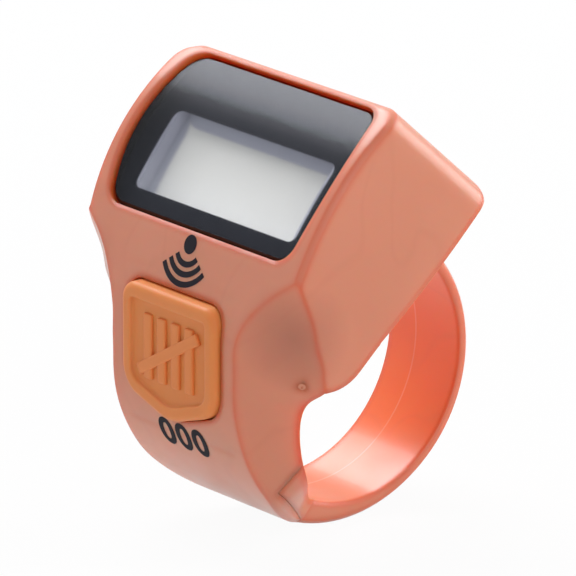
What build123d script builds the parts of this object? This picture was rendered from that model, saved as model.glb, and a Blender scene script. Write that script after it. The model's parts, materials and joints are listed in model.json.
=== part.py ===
"""A digital tally counter worn as a finger ring: display head, thumb button and ring band.

Millimetres. The origin is the centre of the finger hole. X runs along the finger, +Z up, and
the button faces -Y. The display leans back, so pieces in the head are placed by u, which runs
up the display face, and n, which runs straight out of it.
"""
from build123d import *
from math import asin, atan2, cos, degrees, radians, sin, sqrt, tan
import os

# Display frame
display_tilt = 48.2          # degrees between the display face and the floor

# Head
head_half_width = 12.4
head_bulge = 0.3             # how far the sides bow out
head_corner = 2.0
head_back_round = 1.2
shell_wall = 1.3
front_wall = 1.2

# Window and lip at the front of the head
window_foot = 1.1            # u of the window's lower edge
window_height = 13.3
window_bulge = 1.0           # how far the window's sides bow out
window_corner = 1.9
lip_side_width = 1.95        # lip beside the window, at the window's top and bottom
lip_end_width = 0.6          # lip above the window
lip_foot_width = 0.7         # lip below the window
lip_rise = 2.4               # from the display ledge to the middle of the lip's crown
crown_rise = 1.1             # how much the lip falls away from its middle to the window's ends
lip_edge_bevel = 0.4
lip_bevel_run = 3.0          # below the lip's foot, until the bevel has run out
flank_edge_bevel = 0.3       # along the strip and the shoulders

# Finger hole: a circle with a flat roof under the head, as shares of the circle's radius
hole_radius = 10.1
underside_share = 0.6881     # from the hole's centre to the roof
underside_tilt = 41.5        # degrees
chin_level_share = 0.2426    # z of the roof's front end
chin_round_share = 0.396

# Button strip and band
strip_half_width = 7.4
strip_flat_foot = 1.7        # z where the flat face starts to curve under
brow_round = 10.0            # bend between the flat face and the lip
belly_share = 0.947          # radius under the flat face, of the strip's distance from the centre
belly_turn = 43.0            # degrees
band_wall = 0.85
band_half_width = 4.05
band_edge_bevel = 0.25

# Flanks, by the angle round the hole. Half widths at the hole's rim and at the flat face's
# distance: shares above 0 go from the strip's half width to the head's, shares below 0 from the
# strip's to the band's.
flank_angles = (125, 131, 137, 141, 145, 150, 155, 160, 166, 172, 180, 190, 203, 213, 222, 230,
                238, 246, 256)
flank_rim_shares = (3.54, 3.05, 2.55, 2.1, 1.73, 1.54, 1.27, 1.14, 1.0, 0.7, 0.53, 0.46, 0.38, 0.27,
                    0.04, -0.29, -0.66, -0.97, -1.28)
flank_front_shares = (2.65, 2.16, 1.66, 1.23, 0.88, 0.61, 0.37, 0.21, 0.1, 0.02, 0, -0.02, -0.09,
                      -0.15, -0.4, -0.66, -0.93, -1.13, -1.33)
flank_core_share = 0.84      # innermost radius of the flank sections, of the hole's radius
flank_rim_share = 1.31       # their outermost radius, of the strip's distance from the centre
head_hollow = 0.7            # how far the head's front limit bows back, behind the flanks

# Parting line between the front and rear housings, by depth from the hole's rim and angle
seam_angle = 203.4           # degrees round the hole, where it meets the rim
seam_tip_depth = 2.06        # point of the V
seam_tip_angle = 211.2
seam_end_depth = 1.574       # end of the thin skin over the tongue, inside the outer face
seam_end_angle = 242.4

# Rear housing
liner_wall = 1.0
liner_lap = 0.48             # how far the liner reaches past the pocket's sides
liner_end_angle = 214.0      # degrees round the hole, where the liner is well past the seam
plate_wall = 1.2
fit_gap = 0.05

# Lens, mask and the ledge they lie on
shelf_wall = 0.9
mask_thickness = 0.1
mask_side_width = 1.75       # mask beside the aperture, at the window's top and bottom
mask_foot_width = 2.0
mask_top_width = 4.9
lens_gap = 0.12
lens_drop = 0.35             # how far the lens lies below the lip
lens_edge_bevel = 0.25
aperture_corner = 0.7
shelf_opening_margin = 0.4   # round the aperture

# Liquid crystal display
display_drop = 1.1           # from the mask down to the display's face
polariser_side_margin = 0.6  # past the aperture
polariser_end_margin = 0.5
polariser_thickness = 0.2
glass_side_margin = 0.5      # past the polariser
glass_end_margin = 1.0
glass_thickness = 0.5
glass_ledge = 0.95           # contact ledge of the front glass, above and below the rear glass
reflector_inset = 0.25
reflector_thickness = 0.2
frame_wall = 0.9
frame_depth = 2.35
frame_clearance = 0.05

# Main board and what it carries
board_thickness = 0.8
board_gap = 0.5              # from its edges to the walls
board_foot = 0.9             # u of its lower edge
board_corner = 0.8
zebra_width = 0.7
zebra_inset = 0.8            # from the ends of the front glass
chip_radius = 2.6
chip_height = 0.5
chip_bevel = 0.3
component_length = 1.6
component_width = 0.8
component_height = 0.45
component_pitch = 3.2
component_count = 4

# Battery and its contacts
cell_share = 0.5472          # largest radius, of the main board's half width
cell_end_margin = 0.35       # from the cell to the main board's edges
cell_side_margin = 0.4
cell_height = 3.05
cell_cap_inset = 0.8
cell_cap_height = 0.25
cell_rest = 0.772            # from the plate to the strip under the cell
contact_width = 3.0
contact_thickness = 0.2
contact_length = 7.0
dimple_radius = 0.9
dimple_height = 0.1
cradle_wall = 0.8
cradle_gap = 0.2
cradle_start_share = 0.69    # how far from the cell's axis the cradle starts, of the cell's radius
cradle_height = 2.0          # above the underside of the cell

# Buzzer
buzzer_share = 0.368         # radius, of the main board's half width
buzzer_thickness = 0.2
ceramic_inset = 1.0
ceramic_thickness = 0.2
buzzer_ledge = 0.7
buzzer_rim = 0.5
leaf_reach = 2.7             # from the buzzer up to the main board
leaf_width = 1.0
leaf_thickness = 0.15
leaf_pad = 1.8
leaf_slope = 0.9
leaf_foot = 0.4

# Housing screws
screw_low_rise = 1.0         # from the main board's lower edge to the lower screws
screw_radius = 0.6
screw_length = 3.6
screw_head_radius = 1.05
screw_head_height = 0.45
screw_slot_width = 0.3
screw_boss_radius = 1.35
screw_clearance = 0.1
pilot_clearance = 0.04

# Button
button_top = 8.0             # z
button_height = 10.2         # down to the point, before it is rounded
button_point = 1.8           # height of the point below the shoulders
button_top_round = 1.6
button_shoulder_round = 2.6
button_foot_round = 4.0
button_gap = 0.15
button_stand = 0.6           # above the strip's flat face
button_edge_bevel = 0.3
button_rim = 1.1             # width of the raised rim
button_field_depth = 0.35
button_flange = 0.35         # how far the flange reaches past the opening
button_flange_thickness = 0.4
button_travel = 0.3
nub_radius = 1.2
nub_length = 0.2
nub_drop = 4.6               # from the button's top to the nub and the dome
nub_gap = 0.05               # left over the dome when the button is down

# Pocket behind the button
pocket_wall = 0.98           # beside it, in the strip
pocket_flange_gap = 0.47
pocket_top_room = 0.8
pocket_foot_room = 0.95
rail_depth = 0.37

# Button board, snap dome and ribbon
button_board_thickness = 0.5
button_board_gap = 0.12      # to the pocket's sides
button_board_drop = 0.2      # below the button's point
dome_radius = 2.5
dome_top_radius = 1.5
dome_height = 0.25
dome_wall = 0.1
ribbon_half_width = 2.0
ribbon_thickness = 0.12
ribbon_pad = 1.6
ribbon_bend = 0.5

cut_overrun = 2.0
far = 40.0                   # past everything

tilt = radians(display_tilt)
roof = radians(underside_tilt)
display = Plane(origin=(0, 0, 0), x_dir=(1, 0, 0), z_dir=(0, -sin(tilt), cos(tilt)))
front_view = Plane(origin=(0, 0, 0), x_dir=(1, 0, 0), z_dir=(0, -1, 0))


def polar(radius, angle):
    """Side view place at an angle in degrees round the finger hole."""
    return (radius * cos(radians(angle)), radius * sin(radians(angle)))


def floor_level(u, height):
    """n at u of the roof, or of a face a given height over the hole's centre."""
    return (height - u * sin(tilt - roof)) / cos(tilt - roof)


# Along the finger and up the display face
head_top = window_foot + window_height + lip_end_width
window_half_width = head_half_width - lip_side_width
crown_middle = window_foot + window_height / 2
crown_radius = ((window_height / 2) ** 2 + crown_rise ** 2) / (2 * crown_rise)
lip_foot = window_foot - lip_foot_width
lip_lean = radians(90 - display_tilt) - asin((crown_middle - lip_foot) / crown_radius)
side_reach = head_half_width + head_bulge + cut_overrun
aperture_width = 2 * (window_half_width - mask_side_width)
aperture_height = window_height - mask_foot_width - mask_top_width
aperture_centre = window_foot + mask_foot_width + aperture_height / 2
polariser_width = aperture_width + 2 * polariser_side_margin
polariser_height = aperture_height + 2 * polariser_end_margin
glass_width = polariser_width + 2 * glass_side_margin
glass_height = polariser_height + 2 * glass_end_margin
rear_glass_height = glass_height - 2 * glass_ledge
board_half_width = head_half_width - shell_wall - board_gap
board_top = head_top - shell_wall - board_gap
board_middle = (board_foot + board_top) / 2
cell_radius = min((board_top - board_foot) / 2 - cell_end_margin, cell_share * board_half_width)
cell_x = cell_radius + cell_side_margin - board_half_width
buzzer_radius = buzzer_share * board_half_width
buzzer_x = board_half_width - buzzer_radius
ceramic_radius = buzzer_radius - ceramic_inset
screw_x = head_half_width - shell_wall - screw_boss_radius
screw_low_u = board_foot + screw_low_rise
screw_high_u = head_top - shell_wall - screw_boss_radius - fit_gap

# From the roof of the finger hole out to the lip
underside_height = underside_share * hole_radius
chin_level = chin_level_share * hole_radius
chin_round = chin_round_share * hole_radius
plate_height = underside_height + plate_wall
plate_middle = underside_height + plate_wall / 2
cell_level = floor_level(board_middle, plate_height) + cell_rest + contact_thickness
board_level = cell_level + cell_height + dimple_height + contact_thickness
board_face = board_level + board_thickness
frame_top = board_face + frame_depth
shelf_underside = frame_top + frame_clearance
shelf_height = shelf_underside + shelf_wall
lens_level = shelf_height + mask_thickness
lip_height = shelf_height + lip_rise
polariser_level = shelf_height - display_drop - polariser_thickness
glass_level = polariser_level - glass_thickness
rear_glass_level = glass_level - glass_thickness
reflector_level = rear_glass_level - reflector_thickness
buzzer_level = board_level - leaf_reach

# From the rim of the finger hole out to the strip's flat face
button_board_back = hole_radius + liner_wall + fit_gap
button_board_front = button_board_back + button_board_thickness
nub_end = button_board_front + dome_height + nub_gap + button_travel
flange_back = nub_end + nub_length
flange_front = flange_back + button_flange_thickness
strip_inner = flange_front + fit_gap
front_reach = strip_inner + front_wall
band_radius = hole_radius + band_wall
seam_tip = polar(hole_radius + seam_tip_depth, seam_tip_angle)
seam_end = polar(hole_radius + seam_end_depth, seam_end_angle)

# Button, its pocket and its board
pocket_half_width = strip_half_width - pocket_wall
liner_half_width = pocket_half_width + liner_lap
button_half_width = pocket_half_width - pocket_flange_gap - button_flange
button_foot = button_top - button_height
button_shoulder = button_foot + button_point
button_centre = button_top - nub_drop
pocket_top = button_top + pocket_top_room
pocket_foot = button_foot - pocket_foot_room
button_board_half_width = pocket_half_width - button_board_gap
button_board_foot = button_foot - button_board_drop
button_board_top = button_top


def side_point(u, n):
    """Side view place (y, z) of a point in the display frame."""
    return (u * cos(tilt) - n * sin(tilt), u * sin(tilt) + n * cos(tilt))


def roof_point(height, along):
    """Side view place by the height over the hole's centre and the distance up the roof."""
    return (-height * sin(roof) + along * cos(roof), height * cos(roof) + along * sin(roof))


def crown(u, drop=0):
    """n of the lip's crowned face, or of a face a little below it."""
    return lip_height - crown_radius + sqrt(crown_radius ** 2 - (u - crown_middle) ** 2) - drop


def across(profile, half_width):
    """A side view profile made solid, to the same distance on both sides."""
    return extrude(Plane.YZ * profile, amount=half_width, both=True)


def upright(outline, low, high):
    """An outline drawn on the display, made solid from n = low to n = high."""
    return extrude(display.offset(low) * outline, amount=high - low)


def block(width, height, low, high, x=0, u=0):
    """A block in the display frame, centred at x and u, from n = low to n = high."""
    return upright(Pos(x, u) * Rectangle(width, height), low, high)


def disc(radius, low, high, x=0, u=0):
    """A round piece in the display frame, from n = low to n = high."""
    return upright(Pos(x, u) * Circle(radius), low, high)


def roof_crossing(radius):
    """Distance up the roof at which a circle round the hole's centre crosses it."""
    return sqrt(radius ** 2 - underside_height ** 2)


def roof_at(u, height=underside_height):
    """Distance up the roof, or up a line beside it, at which u is reached."""
    return (u - height * sin(tilt - roof)) / cos(tilt - roof)


def side_zone(u_low, u_high, n_low, n_high):
    """Side view rectangle in the display frame."""
    return make_face(Polyline(side_point(u_low, n_low), side_point(u_high, n_low),
                              side_point(u_high, n_high), side_point(u_low, n_high), close=True))


def facing(outline, near, reach):
    """An outline drawn in front view, made solid from y = -near out to y = -reach."""
    return extrude(front_view.offset(near) * outline, amount=reach - near)


def outer_profile():
    """Side view outline of the whole counter, without the finger hole."""
    lip_top = side_point(head_top, crown(head_top))
    lip_middle = side_point(crown_middle, lip_height)
    lip_bottom = side_point(lip_foot, crown(lip_foot))
    bend = brow_round * tan(lip_lean / 2)
    bend_level = lip_bottom[1] - (lip_bottom[0] + front_reach) / tan(lip_lean)
    bend_start = (-front_reach + bend * sin(lip_lean), bend_level + bend * cos(lip_lean))
    belly_start = (-front_reach, strip_flat_foot)
    brow = JernArc(bend_start, (-sin(lip_lean), -cos(lip_lean)), brow_round, degrees(lip_lean))
    belly = JernArc(belly_start, (0, -1), belly_share * front_reach, belly_turn)
    foot, heading = belly @ 1, belly % 1
    inward = (-heading.Y, heading.X)
    foot_square = foot.X ** 2 + foot.Y ** 2
    foot_inward = foot.X * inward[0] + foot.Y * inward[1]
    keel_radius = (band_radius ** 2 - foot_square) / (2 * (foot_inward + band_radius))
    keel_centre = (foot.X + keel_radius * inward[0], foot.Y + keel_radius * inward[1])
    keel_from = degrees(atan2(-inward[1], -inward[0]))
    keel_to = degrees(atan2(-keel_centre[1], -keel_centre[0]))
    keel = JernArc(foot, heading, keel_radius, (keel_to - keel_from) % 360)
    back_join = roof_point(underside_height, roof_crossing(band_radius))
    back_angle = degrees(atan2(back_join[1], back_join[0]))
    back_corner = roof_point(underside_height, roof_at(head_top))
    edges = [
        ThreePointArc(lip_top, lip_middle, lip_bottom),
        Line(lip_bottom, bend_start),
        brow,
        Line(brow @ 1, belly_start),
        belly,
        keel,
        ThreePointArc(keel @ 1, polar(band_radius, (keel_to + back_angle) / 2), back_join),
        Line(back_join, back_corner),
        Line(back_corner, lip_top),
    ]
    face = make_face(edges)
    return fillet(face.vertices().sort_by_distance(Vertex(*back_corner, 0))[0], head_back_round)


def chin_points():
    """Where the roof starts to level out, where it is level, and where it meets the circle."""
    start_level = chin_level + chin_round * (1 - cos(roof))
    along = (start_level - underside_height * cos(roof)) / sin(roof)
    start = roof_point(underside_height, along)
    level = (start[0] - chin_round * sin(roof), chin_level)
    corner = (-sqrt(hole_radius ** 2 - chin_level ** 2), chin_level)
    return start, level, corner


def hole_profile():
    """Side view outline of the finger hole."""
    start, level, corner = chin_points()
    back = roof_point(underside_height, roof_crossing(hole_radius))
    back_angle = degrees(atan2(back[1], back[0])) + 360
    corner_angle = degrees(atan2(corner[1], corner[0]))
    chin = JernArc(start, (-cos(roof), -sin(roof)), chin_round, -underside_tilt)
    return make_face([
        ThreePointArc(corner, polar(hole_radius, (corner_angle + back_angle) / 2), back),
        Line(back, start),
        chin,
        Line(chin @ 1, corner),
    ])


def bowed_outline(half_width, bulge, foot, top, corner, drop=0):
    """Display view outline with bowed sides; drop runs it straight down past its foot."""
    middle = (foot + top) / 2
    right = ThreePointArc((half_width, foot), (half_width + bulge, middle), (half_width, top))
    left = ThreePointArc((-half_width, foot), (-half_width - bulge, middle), (-half_width, top))
    cap = Line((-half_width, top), (half_width, top))
    if drop:
        base = Polyline((half_width, foot), (half_width, foot - drop), (-half_width, foot - drop),
                        (-half_width, foot))
        face = make_face([right, cap, left, base])
        return fillet(face.vertices().sort_by(Axis.Y)[-2:], corner)
    face = make_face([right, cap, left, Line((-half_width, foot), (half_width, foot))])
    return fillet(face.vertices(), corner)


def window_outline(inset=0):
    """Display view outline of the window recess, or of a piece that lies in it."""
    return bowed_outline(window_half_width - inset, window_bulge, window_foot + inset,
                         window_foot + window_height - inset, window_corner - inset)


def flank_half_width(share):
    """Half width on the way from the strip to the head, or to the band if the share is below 0."""
    if share < 0:
        return strip_half_width + share * (strip_half_width - band_half_width)
    return strip_half_width + share * (head_half_width - strip_half_width)


def collar():
    """Flanks that flare from the strip to the head and narrow to the band, with bevelled edges."""
    profile = outer_profile()
    core = flank_core_share * hole_radius
    limit = flank_rim_share * front_reach
    sections = []
    for angle, rim_share, front_share in zip(flank_angles, flank_rim_shares, flank_front_shares):
        rim, front = flank_half_width(rim_share), flank_half_width(front_share)
        face_reach = (Line((0, 0), polar(far, angle)) & profile).edge().length
        slope = (front - rim) / (front_reach - hole_radius)
        bevel_width = front + slope * (face_reach - front_reach) - flank_edge_bevel
        corners = [
            (rim + slope * (core - hole_radius), core),
            (bevel_width + flank_edge_bevel, face_reach - flank_edge_bevel),
            (bevel_width, face_reach),
            (bevel_width, limit),
        ]
        right = [(width, *polar(radius, angle)) for width, radius in corners]
        left = [(-width, *polar(radius, angle)) for width, radius in reversed(corners)]
        sections.append(Face(Wire.make_polygon(right + left)))
    return loft(sections)


def head_zone():
    """Side view zone behind the flanks, in which the head has its full width."""
    corner = chin_points()[2]
    lip_bottom = side_point(lip_foot, crown(lip_foot))
    back = roof_point(underside_height, roof_crossing(hole_radius))
    middle = ((corner[0] + lip_bottom[0]) / 2 + head_hollow, (corner[1] + lip_bottom[1]) / 2)
    return make_face([
        ThreePointArc(lip_bottom, middle, corner),
        Polyline(corner, (-hole_radius / 2, 0), back, roof_point(underside_height, far),
                 (far, far), (lip_bottom[0], far), lip_bottom),
    ])


def lip_bevel_end():
    """Wedge that runs the lip's bevel out below its foot, on the right-hand side."""
    height = crown(lip_foot)
    corner = Vector(head_half_width, *side_point(lip_foot, height))
    inner = Vector(head_half_width - lip_edge_bevel, *side_point(lip_foot, height))
    lower = Vector(head_half_width, *side_point(lip_foot, height - lip_edge_bevel))
    outside = Vector(head_half_width + cut_overrun, *side_point(lip_foot, height + cut_overrun))
    slant = inner - lower
    base = Face(Wire.make_polygon([inner + slant, lower - slant, outside]))
    end = corner - Vector(0, sin(lip_lean), cos(lip_lean)) * lip_bevel_run
    return loft([base, Vertex(end.X, end.Y, end.Z)])


def head_block():
    """The profile at the head's full width, with the lip's outer edges bevelled."""
    outline = bowed_outline(head_half_width, head_bulge, lip_foot, head_top, head_corner, far)
    full = across(outer_profile(), side_reach) & upright(outline, -far, far)
    below = upright(Pos(0, lip_foot - far) * Rectangle(2 * far, 2 * far), -far, far)
    upper = full - below
    lip = upper.faces().sort_by(Axis((0, 0, 0), display.z_dir))[-1]
    foot_edge = lip.edges().sort_by(Axis((0, 0, 0), display.y_dir))[0]
    outer_edges = [edge for edge in lip.edges() if edge != foot_edge]
    block_form = chamfer(outer_edges, lip_edge_bevel) + (full & below)
    bevel_end = lip_bevel_end()
    return block_form - bevel_end - mirror(bevel_end, Plane.YZ)


def outer_form():
    """The whole outer form, as if it were one solid piece."""
    block_form = head_block()
    hole = across(hole_profile(), side_reach)
    head = block_form & across(head_zone(), side_reach)
    flanks = block_form & collar()
    band = across(outer_profile(), band_half_width)
    sides = band.faces().sort_by(Axis.X)
    band = chamfer(sides[0].edges() + sides[-1].edges(), band_edge_bevel)
    band -= across(head_zone(), side_reach)
    return head + flanks + band - hole


def inner_prism(gap=0):
    """The space between the head's side walls and its end wall, less a gap all round."""
    inset = shell_wall + gap
    outline = bowed_outline(head_half_width - inset, head_bulge, lip_foot, head_top - inset,
                            head_corner - shell_wall, far)
    return upright(outline, -far, far)


def cavity():
    """The space inside the front housing: under the display ledge and down behind the button."""
    profile = offset(outer_profile(), -front_wall)
    profile -= offset(hole_profile(), liner_wall + fit_gap)
    head = across(profile & side_zone(lip_foot, far, -far, shelf_underside), side_reach)
    deep = make_face(Polyline((-far, pocket_foot), (far, pocket_foot), (far, far), (-far, far),
                              close=True))
    strip = across(profile & deep & side_zone(-far, far, -far, shelf_underside), pocket_half_width)
    return (head + strip) & inner_prism()


def plate_profile(gap):
    """Side view outline of the plate that closes the head, along the roof and round the chin."""
    thickness = plate_wall + gap
    corner = chin_points()[2]
    chin_side = make_face(Polyline(
        (0, 0), polar(far, degrees(atan2(corner[1], corner[0]))), roof_point(far, 0), close=True))
    roof_side = make_face(Polyline(
        roof_point(underside_height - gap, 0), roof_point(underside_height - gap, far),
        roof_point(underside_height + thickness, far), roof_point(underside_height + thickness, 0),
        close=True))
    return (offset(hole_profile(), thickness) & chin_side) + roof_side


def liner_profile(gap):
    """Side view outline of the liner on the front wall of the finger hole."""
    corner = chin_points()[2]
    corner_angle = degrees(atan2(corner[1], corner[0]))
    sector = make_face(Polyline(
        (0, 0), polar(far, corner_angle), polar(far, (corner_angle + liner_end_angle) / 2),
        polar(far, liner_end_angle), close=True))
    return offset(hole_profile(), liner_wall + gap) & sector


def band_profile(gap):
    """Side view zone behind the seam, which holds the band and the tongue it starts from."""
    rim = polar(hole_radius, seam_angle)
    inside = (2 * rim[0] - seam_tip[0], 2 * rim[1] - seam_tip[1])
    outside = polar(far, degrees(atan2(seam_end[1], seam_end[0])))
    zone = make_face(Polyline(
        inside, seam_tip, seam_end, outside, (far, -far), roof_point(underside_height, far),
        roof_point(underside_height, 0), close=True))
    if gap:
        return offset(zone, gap)
    return zone


def rear_zone(gap=0):
    """All that the rear housing takes up, grown by a gap."""
    plate = across(plate_profile(gap), side_reach) & inner_prism(fit_gap - gap)
    liner = across(liner_profile(gap), liner_half_width + gap)
    return across(band_profile(gap), side_reach) + liner + plate


def screw_places():
    """x, u of the four housing screws."""
    return [(x, u) for u in (screw_low_u, screw_high_u) for x in (-screw_x, screw_x)]


def button_outline(growth=0):
    """Front view outline of the button's opening: a shield with a rounded point."""
    face = make_face(Polyline(
        (-button_half_width, button_top), (button_half_width, button_top),
        (button_half_width, button_shoulder), (0, button_foot),
        (-button_half_width, button_shoulder), close=True))
    points = face.vertices().sort_by(Axis.Y)
    face = fillet(points[-2:], button_top_round)
    points = face.vertices().sort_by_distance(Vertex(0, button_foot, 0))
    face = fillet(points[0], button_foot_round)
    for side in (-button_half_width, button_half_width):
        corner = face.vertices().sort_by_distance(Vertex(side, button_shoulder, 0))[0]
        face = fillet(corner, button_shoulder_round)
    return offset(face, growth) if growth else face


def front_housing(form, hollow):
    """Head, window lip, strip and flanks in one moulding, with its bosses and rails."""
    body = form - hollow
    for x, u in screw_places():
        low = floor_level(u, plate_middle)
        web_x = (abs(x) + head_half_width - shell_wall / 2) / 2
        web_width = head_half_width - shell_wall / 2 - abs(x)
        boss = disc(screw_boss_radius, low, board_level, x, u)
        web = block(web_width, 2 * screw_boss_radius, low, board_level, web_x if x > 0 else -web_x, u)
        body += boss + web
    rail = Pos((pocket_half_width + shell_wall / 2) - (rail_depth + shell_wall / 2) / 2,
               (button_board_foot + button_board_top) / 2)
    rail *= Rectangle(rail_depth + shell_wall / 2, button_board_top - button_board_foot)
    rail = facing(rail, button_board_front + fit_gap, strip_inner + fit_gap)
    body += rail + mirror(rail, Plane.YZ)
    body -= rear_zone(fit_gap)
    body -= upright(window_outline(), shelf_height, far)
    body -= block(aperture_width + 2 * shelf_opening_margin, aperture_height + 2 * shelf_opening_margin,
                  shelf_underside - cut_overrun, far, 0, aperture_centre)
    pocket = Pos(0, (pocket_foot + pocket_top) / 2)
    pocket *= Rectangle(2 * (pocket_half_width - rail_depth), pocket_top - pocket_foot)
    body -= facing(pocket, button_board_back, strip_inner)
    body -= facing(button_outline(), button_board_back, front_reach + cut_overrun)
    for x, u in screw_places():
        low = floor_level(u, plate_middle)
        body -= disc(screw_radius + pilot_clearance, low, low + screw_length + fit_gap, x, u)
    return body


def rear_housing(form):
    """Ring band, hole liner and the plate that closes the head."""
    body = form & rear_zone()
    seat_low = floor_level(board_middle, plate_middle)
    rest = block(contact_length, contact_width, seat_low, cell_level - contact_thickness - fit_gap,
                 cell_x, board_middle)
    inner = cell_radius + cradle_gap
    ring = Circle(inner + cradle_wall) - Circle(inner)
    ring -= Pos(cradle_start_share * cell_radius - far) * Rectangle(2 * far, 2 * far)
    ring -= Rectangle(2 * far, contact_width + 2 * cradle_gap)
    cradle = upright(Pos(cell_x, board_middle) * ring, seat_low, cell_level + cradle_height)
    outer = buzzer_radius + fit_gap + buzzer_rim
    seat = disc(outer, seat_low, buzzer_level + buzzer_thickness, buzzer_x, board_middle)
    seat -= disc(buzzer_radius + fit_gap, buzzer_level, far, buzzer_x, board_middle)
    seat -= disc(buzzer_radius - buzzer_ledge, floor_level(board_middle, plate_height), far,
                 buzzer_x, board_middle)
    fittings = rest + cradle + seat
    for x, u in screw_places():
        fittings -= disc(screw_boss_radius + cradle_gap, -far, far, x, u)
    body += fittings
    for x, u in screw_places():
        middle = floor_level(u, plate_middle)
        body -= disc(screw_radius + screw_clearance, middle - cut_overrun, middle + cut_overrun, x, u)
        body -= disc(screw_head_radius + screw_clearance, middle - cut_overrun, middle, x, u)
    return body


def housing_screw(x, u):
    """Slotted screw from the underside of the head into its boss."""
    seat = floor_level(u, plate_middle)
    head = disc(screw_head_radius, seat - screw_head_height, seat, x, u)
    head -= block(2 * screw_head_radius, screw_slot_width, seat - screw_head_height,
                  seat - screw_head_height / 2, x, u)
    return head + disc(screw_radius, seat, seat + screw_length, x, u)


def crowned_side(drop):
    """Side view zone below the crown of the lip, or of a face a little under it."""
    low, high = lip_foot - cut_overrun, head_top + cut_overrun
    return make_face([
        ThreePointArc(side_point(low, crown(low, drop)), side_point(crown_middle, lip_height - drop),
                      side_point(high, crown(high, drop))),
        Polyline(side_point(high, crown(high, drop)), side_point(high, -far), side_point(low, -far),
                 side_point(low, crown(low, drop))),
    ])


def display_window():
    """Clear lens, crowned like the lip round it."""
    lens = upright(window_outline(lens_gap), lens_level, lip_height + cut_overrun)
    lens = lens & across(crowned_side(lens_drop), side_reach)
    face = lens.faces().sort_by(Axis((0, 0, 0), display.z_dir))[-1]
    return chamfer(face.edges(), lens_edge_bevel)


def window_mask():
    """Dark mask behind the lens, open where the digits show."""
    aperture = RectangleRounded(aperture_width, aperture_height, aperture_corner)
    aperture = Pos(0, aperture_centre) * aperture
    return upright(window_outline(lens_gap) - aperture, shelf_height, lens_level)


def display_slab(width, height, level, thickness):
    """A rectangular layer of the display."""
    return block(width, height, level, level + thickness, 0, aperture_centre)


def lcd_frame():
    """Frame that holds the display under the ledge, open at the back."""
    width, height = glass_width + 2 * frame_clearance, glass_height + 2 * frame_clearance
    body = block(width + 2 * frame_wall, height + 2 * frame_wall, board_face, frame_top, 0,
                 aperture_centre)
    body -= block(width, height, board_face - cut_overrun, polariser_level, 0, aperture_centre)
    return body - block(polariser_width + 2 * frame_clearance, polariser_height + 2 * frame_clearance,
                        board_face, far, 0, aperture_centre)


def zebra_strip(side):
    """Rubber contact strip from the main board up to the front glass, above or below."""
    u = aperture_centre + side * (glass_height - glass_ledge) / 2
    return block(glass_width - 2 * zebra_inset, zebra_width, board_face, glass_level, 0, u)


def main_board():
    """Circuit board across the head, on top of the screw bosses."""
    outline = RectangleRounded(2 * board_half_width, board_top - board_foot, board_corner)
    return upright(Pos(0, board_middle) * outline, board_level, board_face)


def chip_blob():
    """Resin drop over the counting chip."""
    drop = disc(chip_radius, board_face, board_face + chip_height, 0, aperture_centre)
    top = drop.faces().sort_by(Axis((0, 0, 0), display.z_dir))[-1]
    return chamfer(top.edges(), chip_bevel)


def board_component(index):
    """Small part soldered beside the display frame."""
    x = component_pitch * (index - (component_count - 1) / 2)
    frame_edge = aperture_centre + glass_height / 2 + frame_clearance + frame_wall
    return block(component_length, component_width, board_face, board_face + component_height, x,
                 (frame_edge + board_top) / 2)


def battery_cell():
    """Button cell, can up and cap down."""
    can = disc(cell_radius, cell_level + cell_cap_height, cell_level + cell_height, cell_x,
               board_middle)
    top = can.faces().sort_by(Axis((0, 0, 0), display.z_dir))[-1]
    can = chamfer(top.edges(), cell_cap_height)
    return can + disc(cell_radius - cell_cap_inset, cell_level, cell_level + cell_cap_height, cell_x,
                      board_middle)


def contact_plus():
    """Plate on the main board with a dimple that presses on the can."""
    plate = block(contact_length, contact_width, board_level - contact_thickness, board_level, cell_x,
                  board_middle)
    return plate + disc(dimple_radius, cell_level + cell_height, board_level - contact_thickness,
                        cell_x, board_middle)


def contact_minus():
    """Strip under the cell with a leg up to the main board."""
    leg_x = cell_x + cell_radius + cradle_gap
    low = cell_level - contact_thickness
    start = cell_x - contact_length / 2
    strip = block(leg_x + contact_thickness - start, contact_width, low, cell_level,
                  (leg_x + contact_thickness + start) / 2, board_middle)
    return strip + block(contact_thickness, contact_width, low, board_level,
                         leg_x + contact_thickness / 2, board_middle)


def buzzer_leaf(x, level):
    """Springy leaf from the main board down to the buzzer."""
    high, low = board_level - leaf_thickness / 2, level + leaf_thickness / 2
    route = Polyline(side_point(board_middle - leaf_pad - leaf_slope, high),
                     side_point(board_middle - leaf_slope, high), side_point(board_middle, low),
                     side_point(board_middle + leaf_foot, low))
    return Pos(x, 0, 0) * across(trace(route, leaf_thickness), leaf_width / 2)


def button_cap():
    """Thumb button with a raised rim, a flange inside the wall and a nub on the dome."""
    cap = facing(button_outline(-button_gap), flange_back, front_reach + button_stand)
    cap = chamfer(cap.faces().sort_by(Axis.Y)[0].edges(), button_edge_bevel)
    field = front_reach + button_stand - button_field_depth
    cap -= facing(button_outline(-button_gap - button_rim), field, field + cut_overrun)
    cap += facing(button_outline(button_flange), flange_back, flange_front)
    return cap + facing(Pos(0, button_centre) * Circle(nub_radius), nub_end, flange_back)


def button_board():
    """Circuit board behind the button, between the rails and the liner."""
    outline = Rectangle(2 * button_board_half_width, button_board_top - button_board_foot)
    return facing(Pos(0, (button_board_foot + button_board_top) / 2) * outline, button_board_back,
                  button_board_front)


def button_dome():
    """Thin snap dome on the button board."""
    base, top = -button_board_front, -button_board_front - dome_height
    section = make_face(Polyline(
        (dome_radius, base), (dome_top_radius, top), (0, top), (0, top + dome_wall),
        (dome_top_radius - dome_wall, top + dome_wall), (dome_radius - dome_wall, base), close=True))
    return Pos(0, 0, button_centre) * revolve(section, Axis.Y)


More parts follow.
